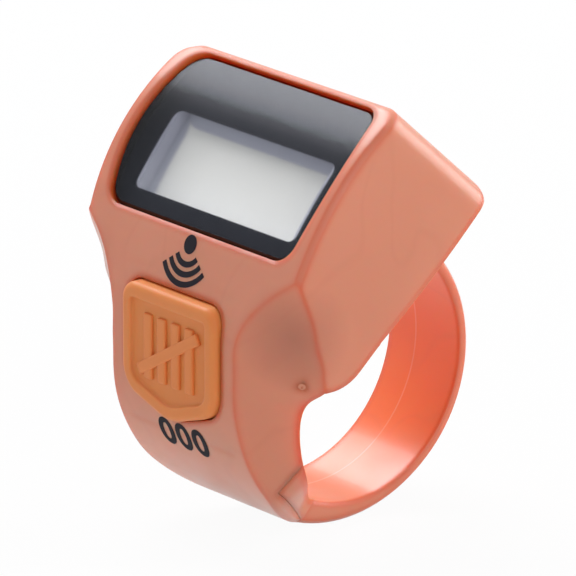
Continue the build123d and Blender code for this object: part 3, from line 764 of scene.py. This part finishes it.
@dataclass
class Prints:
    """The dark prints on the button strip: a plain signal sign and a plain number.

    Attributes:
        finishes: All finishes.
        sign_top: Height of the middle of the sign's dot.
        dot_radius: Radius of the dot.
        arc_radii: Middle radius of each arc below the dot.
        stroke: Width of an arc.
        arc_turn: Angle that an arc spans, in radians.
        number: The number's figures.
        number_middle: Height of the middle of the number.
        number_height: Height of its figures.
        number_width: Width of the whole number.
        figure_weight: How much thicker its strokes are than the plain font's.
        figure_space: How wide its figures stand, where one is the plain font's spacing.
        film: Thickness of the print.
        start_y: Where a print is drawn flat, in front of the strip.
        steps: Parts into which an arc and the number are cut, so that they can bend.
    """

    finishes: Finishes
    sign_top: float = 11.3 * MM
    dot_radius: float = 0.68 * MM
    arc_radii: tuple[float, ...] = (1.4 * MM, 2.1 * MM, 2.8 * MM)
    stroke: float = 0.42 * MM
    arc_turn: float = math.radians(108)
    number: str = "000"
    number_middle: float = -3.4 * MM
    number_height: float = 2.3 * MM
    number_width: float = 5.6 * MM
    figure_weight: float = 0.03
    figure_space: float = 1.12
    film: float = 0.02 * MM
    start_y: float = -20.0 * MM
    steps: int = 20

    def stand(self, piece: Piece, height: float) -> None:
        """Stands a flat piece up in front of the strip.

        Args:
            piece: The piece, flat round the model's origin.
            height: Where its middle comes to stand.
        """
        piece.rotation_euler = (math.pi / 2, 0, 0)
        piece.location = (0, self.start_y, height)
        Bench.settle(piece)

    def dot(self) -> Piece:
        """The sign's round dot.

        Returns:
            The dot, flat in front of the strip.
        """
        piece = Bench.start("sign_dot", bpy.ops.mesh.primitive_circle_add, vertices=40,
                            radius=self.dot_radius, fill_type="NGON")
        Bench.edit(piece, Element.FACE, lambda face: True)
        bpy.ops.mesh.inset(thickness=self.dot_radius / 3)
        Bench.done()
        self.stand(piece, self.sign_top)
        return piece

    def arc(self, radius: float) -> Piece:
        """One arc of the sign, below the dot.

        Args:
            radius: The arc's middle radius.

        Returns:
            The arc, flat in front of the strip.
        """
        piece = Bench.start("sign_arc", bpy.ops.mesh.primitive_plane_add, size=self.stroke)
        self.stand(piece, self.sign_top - radius)
        Bench.edit(piece, Element.VERT, lambda vertex: vertex.co.x > 0)
        bpy.ops.mesh.delete(type="VERT")
        bpy.ops.mesh.select_all(action="SELECT")
        bpy.ops.transform.translate(value=(self.stroke / 2, 0, 0))
        centre = (0, self.start_y, self.sign_top)
        bpy.ops.transform.rotate(value=-self.arc_turn / 2, orient_axis="Y", center_override=centre)
        bpy.ops.mesh.spin(steps=self.steps, angle=self.arc_turn, center=centre, axis=(0, 1, 0))
        Bench.done()
        return piece

    def figures(self) -> Piece:
        """The number, flat in front of the strip.

        Returns:
            The number as a mesh, cut into level rows so that it can bend.
        """
        bpy.ops.object.select_all(action="DESELECT")
        bpy.ops.object.text_add()
        writing = bpy.context.view_layer.objects.active
        writing.data.body = self.number
        writing.data.align_x = "CENTER"
        writing.data.offset = self.figure_weight
        writing.data.space_character = self.figure_space
        writing.data.resolution_u = 6
        Bench.only(writing)
        bpy.ops.object.convert(target="MESH")
        piece = Bench.named("printed_number")
        size = piece.dimensions.copy()
        middle = sum((Vector(corner) for corner in piece.bound_box), Vector()) / 8
        piece.data.transform(Matrix.Translation(-middle))
        piece.scale = (self.number_width / size.x, self.number_height / size.y, 1)
        self.stand(piece, self.number_middle)
        for row in range(1, self.steps):
            height = self.number_middle + self.number_height * (row / self.steps - 0.5)
            Bench.edit_all(piece)
            bpy.ops.mesh.bisect(plane_co=(0, 0, height), plane_no=(0, 0, 1))
            Bench.done()
        return piece

    def lay(self, piece: Piece, wall: Piece) -> None:
        """Lays a flat print on the strip.

        Args:
            piece: The print.
            wall: The front moulding.
        """
        Bench.modify(piece, "SHRINKWRAP", target=wall, wrap_method="PROJECT", use_project_x=False,
                     use_project_y=True, use_project_z=False, use_positive_direction=True,
                     use_negative_direction=False, offset=self.film)
        Bench.smooth(piece, angle=60)
        self.finishes.dress(piece, "ink")
        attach(piece, Body.HOUSING.value)

    def build(self, wall: Piece) -> None:
        """Builds the sign and the number.

        Args:
            wall: The front moulding.
        """
        sign = Bench.join([self.dot()] + [self.arc(radius) for radius in self.arc_radii])
        sign.name = "signal_sign"
        self.lay(sign, wall)
        self.lay(self.figures(), wall)


@dataclass
class Button:
    """The thumb button with a five-bar tally in relief.

    Attributes:
        finishes: All finishes.
        edge_width: Width of the rounding along its edges.
        edge_angle: Angle in radians from which an edge is rounded.
        centre_z: Height of the middle of the tally.
        field_y: The field's place.
        bar_height: Length of an upright bar.
        bar_width: Width of a bar.
        bar_pitch: Distance between upright bars.
        bar_stand: How far a bar stands out of the field.
        bar_root: How far it reaches into the field.
        front_slope: Faces that look forwards more than this are a bar's front.
        bar_slope: Width of a bar's sloping side, as a share of the bar's width.
        bar_crown: How far its middle stands further out, as a share of its stand.
        bar_round: Width of the rounding of its edges, as a share of the bar's width.
        bar_crease: Angle in radians from which an edge of it is rounded.
        slash_angle: Lean of the fifth bar from upright, in radians.
        slash_stretch: Its length, where one is that of an upright bar.
        slash_lift: How far it stands further out, as a share of a bar's stand.
    """

    finishes: Finishes
    edge_width: float = 0.18 * MM
    edge_angle: float = math.radians(30)
    centre_z: float = 3.3 * MM
    field_y: float = -14.35 * MM
    bar_height: float = 5.0 * MM
    bar_width: float = 0.9 * MM
    bar_pitch: float = 1.6 * MM
    bar_stand: float = 0.22 * MM
    bar_root: float = 0.1 * MM
    front_slope: float = 0.9
    bar_slope: float = 1 / 6
    bar_crown: float = 1 / 4
    bar_round: float = 1 / 5
    bar_crease: float = math.radians(20)
    slash_angle: float = math.radians(60)
    slash_stretch: float = 1.6
    slash_lift: float = 1 / 3

    def bar(self) -> Piece:
        """One upright bar with sloping sides and rounded edges.

        Returns:
            The bar, in the middle of the field.
        """
        depth = self.bar_stand + self.bar_root
        piece = Bench.start("tally_bar", bpy.ops.mesh.primitive_cube_add, size=1)
        piece.scale = (self.bar_width, depth, self.bar_height)
        piece.location = (0, self.field_y + self.bar_root - depth / 2, self.centre_z)
        Bench.settle(piece)
        Bench.edit(piece, Element.FACE, lambda face: face.normal.y < -self.front_slope)
        bpy.ops.mesh.inset(thickness=self.bar_width * self.bar_slope)
        bpy.ops.transform.translate(value=(0, -self.bar_stand * self.bar_crown, 0))
        Bench.done()
        Bench.modify(piece, "BEVEL", width=self.bar_width * self.bar_round, segments=3,
                     limit_method="ANGLE", angle_limit=self.bar_crease)
        return piece

    def tally(self) -> None:
        """Builds four upright bars and one across them."""
        first = self.bar()
        bars = [first] + [Bench.twin(first, f"tally_bar_{index}") for index in range(1, 5)]
        for index, piece in enumerate(bars[:4]):
            piece.location.x = (index - 1.5) * self.bar_pitch
        slash = bars[4]
        slash.data.transform(Matrix.Translation((0, 0, -self.centre_z)))
        slash.scale.z = self.slash_stretch
        slash.rotation_euler = (0, self.slash_angle, 0)
        slash.location = (0, -self.bar_stand * self.slash_lift, self.centre_z)
        for piece in bars:
            Bench.settle(piece)
        relief = Bench.join(bars)
        relief.name = "tally_relief"
        Bench.smooth(relief, angle=40)
        self.finishes.dress(relief, "tally")
        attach(relief, Body.BUTTON.value)

    def build(self) -> None:
        """Builds the cap and its tally."""
        cap = Bench.copy_of_node("button_cap", "thumb_button")
        Bench.modify(cap, "BEVEL", width=self.edge_width, segments=3, limit_method="ANGLE",
                     angle_limit=self.edge_angle, use_clamp_overlap=False,
                     miter_outer="MITER_ARC")
        Bench.smooth(cap, angle=38)
        Bench.modify(cap, "WEIGHTED_NORMAL", keep_sharp=True)
        self.finishes.dress(cap, "button")
        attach(cap, Body.BUTTON.value)
        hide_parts("button_cap")
        self.tally()


@dataclass
class Window:
    """The clear crowned window with walls and rim painted dark as their dark reflection, and the
    grey border of the display under it, partly a painted shadow of the mask.

    Attributes:
        finishes: All finishes.
        top_slope: Faces that look out of the display more than this are the window's top.
        wall_slope: Faces that look out of it less than this are walls.
        flat_slope: Faces that look out of it less than this are painted dark as a dark reflection.
        side_slope: Faces that look sideways more than this are painted dark as a dark reflection.
        edge_width: Width of the rounding round the window, painted dark as a dark reflection.
        print_sink: How deep the window's underside sits in the print of the mask.
        aperture_reach: Half the aperture's width in the plain mask and as it is printed.
        aperture_span: u of the foot and the top of the plain mask's aperture.
        aperture_slack: How far from the aperture its corners may lie.
        aperture_middle: u of the aperture's middle.
        mask_level: n of the mask's underside.
        corner: Radius of the corners of both openings below it.
        border_width: Width of the opening in the display's border.
        border_span: u of the foot and the top of that opening.
        border_rim: Width of the border all round.
        border_film: Its thickness.
        border_level: n of its underside.
        liner_size: Width and height inside the liner of the opening over the display.
        liner_wall: Thickness of that liner.
        liner_flange: Width of its flange on the shelf.
    """

    finishes: Finishes
    top_slope: float = 0.8
    wall_slope: float = 0.5
    flat_slope: float = 0.9
    side_slope: float = 0.12
    edge_width: float = 0.5 * MM
    print_sink: float = 0.03 * MM
    aperture_reach: tuple[float, float] = (8.7 * MM, 9.3 * MM)
    aperture_span: tuple[float, float] = (3.1 * MM, 9.5 * MM)
    aperture_slack: float = 0.05 * MM
    aperture_middle: float = 6.3 * MM
    mask_level: float = 15.8 * MM
    corner: float = 0.7 * MM
    border_width: float = 16.5 * MM
    border_span: tuple[float, float] = (3.2 * MM, 8.85 * MM)
    border_rim: float = 1.6 * MM
    border_film: float = 0.04 * MM
    border_level: float = 14.72 * MM
    liner_size: tuple[float, float] = (18.0 * MM, 7.0 * MM)
    liner_wall: float = 0.06 * MM
    liner_flange: float = 0.36 * MM

    def build(self) -> None:
        """Builds the window, the mask and the border of the display."""
        lens = Bench.copy_of_node("display_window", "clear_window")
        self.round_top(lens)
        self.finishes.dress(lens, "window", "rim")
        # The walls and the rounded rim take the near-black rim finish, a painted dark reflection.
        for face in lens.data.polygons:
            face.material_index = 1 if self.leans(face.normal) else 0
        Bench.smooth(lens, angle=35)
        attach(lens, Body.HOUSING.value)
        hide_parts("display_window")
        self.mask()
        self.surround()

    def leans(self, normal: Vector) -> bool:
        """Says whether a face of the window is a wall or part of its rounded rim."""
        across, _, out = SLOPE.across(normal)
        return abs(out) < self.flat_slope or abs(across) > self.side_slope

    def at_wall(self, edge: bmesh.types.BMEdge) -> bool:
        """Says whether an edge lies between the window's top and its wall."""
        outs = sorted(SLOPE.across(face.normal)[2] for face in edge.link_faces)
        return len(outs) == 2 and outs[1] > self.top_slope and abs(outs[0]) < self.wall_slope

    def round_top(self, lens: Piece) -> None:
        """Rounds the window's outer edge and lowers its underside into the mask.

        Args:
            lens: The window.
        """
        Bench.edit(lens, Element.EDGE, self.at_wall)
        bpy.ops.mesh.bevel(offset=self.edge_width, segments=4, affect="EDGES", clamp_overlap=False)
        Bench.done()
        Bench.edit(lens, Element.FACE,
                   lambda face: SLOPE.across(face.normal)[2] < -self.flat_slope)
        bpy.ops.transform.translate(value=SLOPE.point(0, 0, -self.print_sink))
        Bench.done()

    def at_aperture(self, vertex: bmesh.types.BMVert) -> bool:
        """Says whether a vertex of the plain mask lies on its aperture.

        Args:
            vertex: The vertex.

        Returns:
            Whether it does.
        """
        x, u, _ = SLOPE.across(vertex.co)
        foot, top = self.aperture_span
        return (abs(x) < self.aperture_reach[0] + self.aperture_slack
                and foot - self.aperture_slack < u < top + self.aperture_slack)

    def mask(self) -> None:
        """Prints the mask with its aperture as wide as it shows."""
        surround = Bench.copy_of_node("window_mask", "printed_mask")
        plain, wide = self.aperture_reach
        Bench.edit(surround, Element.VERT, self.at_aperture)
        centre = tuple(SLOPE.point(0, self.aperture_middle, self.mask_level))
        bpy.ops.transform.resize(value=(wide / plain, 1, 1), center_override=centre)
        Bench.done()
        self.finishes.dress(surround, "mask")
        Bench.smooth(surround, angle=30)
        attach(surround, Body.HOUSING.value)
        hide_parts("window_mask")

    def ring(self, name: str, opening: tuple[float, float], rim: float) -> Piece:
        """A flat ring round an opening with rounded corners.

        Args:
            name: The piece's name.
            opening: Width and height of the opening.
            rim: Width of the ring.

        Returns:
            The ring, flat at the model's origin.
        """
        piece = Bench.start(name, bpy.ops.mesh.primitive_plane_add, size=1)
        piece.scale = (opening[0] + 2 * rim, opening[1] + 2 * rim, 1)
        Bench.settle(piece)
        Bench.edit(piece, Element.FACE, lambda face: True)
        bpy.ops.mesh.inset(thickness=rim)
        bpy.ops.mesh.select_mode(type="VERT")
        bpy.ops.mesh.bevel(offset=self.corner, segments=6, affect="VERTICES")
        bpy.ops.mesh.select_mode(type="FACE")
        bpy.ops.mesh.delete(type="FACE")
        Bench.done()
        return piece

    def lay(self, piece: Piece, thickness: float, u: float, level: float) -> None:
        """Gives a flat ring its thickness and lays it in the head.

        Args:
            piece: The ring.
            thickness: Its thickness, upwards from its underside.
            u: The middle of its opening up the display.
            level: n of its underside.
        """
        Bench.modify(piece, "SOLIDIFY", thickness=thickness, offset=1.0)
        piece.data.transform(Matrix.Translation((0, u, level)))
        piece.data.transform(Matrix.Rotation(SLOPE.tilt, 4, "X"))
        self.finishes.dress(piece, "border")
        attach(piece, Body.HOUSING.value)

    def surround(self) -> None:
        """Builds the liner of the opening and the border of the display below it."""
        foot, top = self.border_span
        # The grey border stands partly for the shadow that the mask casts on the display.
        border = self.ring("display_border", (self.border_width, top - foot), self.border_rim)
        self.lay(border, self.border_film, (foot + top) / 2, self.border_level)
        low = self.border_level + 2 * self.border_film
        liner = self.ring("display_liner", self.liner_size, self.liner_wall)
        self.lay(liner, self.mask_level - low, self.aperture_middle, low)
        flange = self.ring("liner_flange", self.liner_size, self.liner_flange)
        self.lay(flange, self.border_film / 2, self.aperture_middle, self.mask_level)


@dataclass
class FlankSkin:
    """A thin skin over the spot of each flank where the joint's pocket comes through the wall.

    Attributes:
        finishes: All finishes.
        spot: Middle of that spot on the right flank.
        lean: Direction in which the flank faces there.
        radius: Radius of the skin.
        thickness: Its thickness, inwards.
        stand: How far it stands out of the flank.
    """

    finishes: Finishes
    spot: Place = (11.02 * MM, -10.90 * MM, 2.86 * MM)
    lean: Place = (0.575, -0.785, -0.22)
    radius: float = 0.28 * MM
    thickness: float = 0.02 * MM
    stand: float = 0.008 * MM

    def patch(self, name: str, side: int) -> Piece:
        """One round skin.

        Args:
            name: The piece's name.
            side: One for the right flank, minus one for the left.

        Returns:
            The skin in its place.
        """
        piece = Bench.start(name, bpy.ops.mesh.primitive_circle_add, vertices=32,
                            radius=self.radius, fill_type="NGON")
        out = Vector((side * self.lean[0], *self.lean[1:])).normalized()
        piece.rotation_euler = out.to_track_quat("Z", "Y").to_euler()
        piece.location = Vector((side * self.spot[0], *self.spot[1:])) + out * self.radius
        Bench.settle(piece)
        Bench.modify(piece, "SHRINKWRAP", target=frame["nodes"]["front_housing"],
                     wrap_method="NEAREST_SURFACEPOINT", wrap_mode="ABOVE_SURFACE",
                     offset=self.stand)
        Bench.modify(piece, "SOLIDIFY", thickness=self.thickness, offset=-1.0)
        return piece

    def build(self) -> None:
        """Builds both skins."""
        for name, side in (("flank_skin_right", 1), ("flank_skin_left", -1)):
            piece = self.patch(name, side)
            Bench.smooth(piece, angle=30)
            self.finishes.dress(piece, "skin")
            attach(piece, Body.HOUSING.value)


@dataclass(frozen=True)
class Lamp:
    """A square soft lamp that looks at the object.

    Attributes:
        name: The lamp's name.
        towards: Direction from the object to the lamp.
        size: Its side in metres.
        level: How bright it lights a white face turned to it, where one is full white.
        tint: Hex colour of its light.
        distance: Its distance from the object in metres.
    """

    name: str
    towards: Place
    size: float
    level: float
    tint: str = WHITE
    distance: float = 0.8

    def hang(self) -> None:
        """Adds the lamp to the scene."""
        light = bpy.data.lights.new(self.name, "AREA")
        light.shape = "SQUARE"
        light.size = self.size
        light.energy = self.level * (math.pi * self.distance) ** 2
        light.color = colour(self.tint)[:3]
        holder = bpy.data.objects.new(self.name, light)
        bpy.context.scene.collection.objects.link(holder)
        holder.location = Vector(self.towards).normalized() * self.distance
        holder.rotation_euler = (-holder.location).to_track_quat("-Z", "Y").to_euler()


@dataclass
class Studio:
    """Floor, world, lamps and camera.

    Attributes:
        azimuth: The camera's angle round the object.
        elevation: Its angle above the horizon.
        distance: Its distance from the finger hole's centre.
        scale: Image pixels per metre at the finger hole's centre.
        aim_right: How far the picture's middle lies right of that centre, with its sign turned.
        aim_up: The same, upwards.
        floor_size: Side of the floor in metres.
        floor_drop: How far it lies below the object.
        floor_colour: Hex colour of the floor.
        floor_white: How far the floor shows plain white to the camera.
        sky_colour: Hex colour of the sky's light.
        sky_level: How bright the sky lights the object.
        lamps: The lamps.
    """

    azimuth: float = math.radians(50.684)
    elevation: float = math.radians(17.732)
    distance: float = 566.4 * MM
    scale: float = 13.43 / MM
    aim_right: float = 2.464 * MM
    aim_up: float = -5.19 * MM
    floor_size: float = 3.0
    floor_drop: float = 0.02 * MM
    floor_colour: str = "DEDDDB"
    floor_white: float = 0.95
    sky_colour: str = "EAEFFF"
    sky_level: float = 0.3
    lamps: tuple[Lamp, ...] = (
        Lamp("key", (-0.62, 0.14, 0.78), size=0.52, level=0.97, tint="FBFBFF"),
        Lamp("right fill", (0.85, -0.20, 0.35), size=0.6, level=0.30),
        Lamp("back light", (0.30, 0.90, 0.30), size=0.6, level=0.7),
        Lamp("front fill", (-0.35, -0.90, 0.25), size=0.5, level=0.12))

    def axes(self) -> tuple[Vector, Vector, Vector]:
        """Works out which way the camera looks.

        Returns:
            Its right, up and backward directions.
        """
        sin_a, cos_a = math.sin(self.azimuth), math.cos(self.azimuth)
        sin_e, cos_e = math.sin(self.elevation), math.cos(self.elevation)
        back = Vector((sin_a * cos_e, -cos_a * cos_e, sin_e))
        return Vector((cos_a, sin_a, 0)), Vector((-sin_a * sin_e, cos_a * sin_e, cos_e)), back

    def camera(self) -> None:
        """Places the camera as the photograph shows the object."""
        right, up, back = self.axes()
        lens = bpy.data.cameras.new("camera")
        lens.sensor_width = SENSOR_WIDTH
        lens.lens = self.scale * self.distance * SENSOR_WIDTH / IMAGE_WIDTH
        lens.clip_start = 0.01
        lens.clip_end = 20.0
        viewer = bpy.data.objects.new("camera", lens)
        bpy.context.scene.collection.objects.link(viewer)
        place = back * self.distance - right * self.aim_right - up * self.aim_up
        turn = Matrix((right, up, back)).transposed().to_4x4()
        viewer.matrix_world = Matrix.Translation(place) @ turn
        bpy.context.scene.camera = viewer

    def floor(self) -> None:
        """Lays a pale floor that shows white to the camera but keeps the shadow."""
        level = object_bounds()[0][2] - self.floor_drop
        piece = Bench.start("floor", bpy.ops.mesh.primitive_plane_add, size=self.floor_size,
                            location=(0, 0, level))
        Bench.settle(piece)
        material = bpy.data.materials.new("pale floor")
        material.use_nodes = True
        nodes = Nodes(material.node_tree)
        diffuse = nodes.add("ShaderNodeBsdfDiffuse", Color=colour(self.floor_colour))
        glow = nodes.add("ShaderNodeEmission", Color=colour(WHITE), Strength=1.0)
        share = nodes.math("MULTIPLY", nodes.backdrop_rays(), self.floor_white)
        mixed = nodes.mix_shader(share, diffuse.outputs[0], glow.outputs[0])
        nodes.add("ShaderNodeOutputMaterial", Surface=mixed)
        piece.data.materials.append(material)
        piece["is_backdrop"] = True

    def world(self) -> None:
        """Sets an even pale sky that looks white to the camera."""
        sky = bpy.data.worlds.new("studio")
        bpy.context.scene.world = sky
        sky.use_nodes = True
        nodes = Nodes(sky.node_tree)
        lit = nodes.add("ShaderNodeBackground", Color=colour(self.sky_colour),
                        Strength=self.sky_level)
        white = nodes.add("ShaderNodeBackground", Color=colour(WHITE), Strength=1.0)
        mixed = nodes.mix_shader(nodes.backdrop_rays(), lit.outputs[0], white.outputs[0])
        nodes.add("ShaderNodeOutputWorld", Surface=mixed)

    def build(self) -> None:
        """Builds the whole studio."""
        self.camera()
        self.world()
        self.floor()
        for lamp in self.lamps:
            lamp.hang()
        bpy.context.scene.view_settings.view_transform = "Standard"
        logger.info("studio: camera, floor, sky and lamps")


def main() -> None:
    """Builds the counter and its studio."""
    logging.basicConfig(level=logging.INFO, format="%(name)s: %(message)s")
    finishes = Finishes(Effects())
    finishes.dress_nodes()
    Prints(finishes).build(frame["nodes"]["front_housing"])
    Button(finishes).build()
    Window(finishes).build()
    FlankSkin(finishes).build()
    Studio().build()


if __name__ == "__main__":
    main()
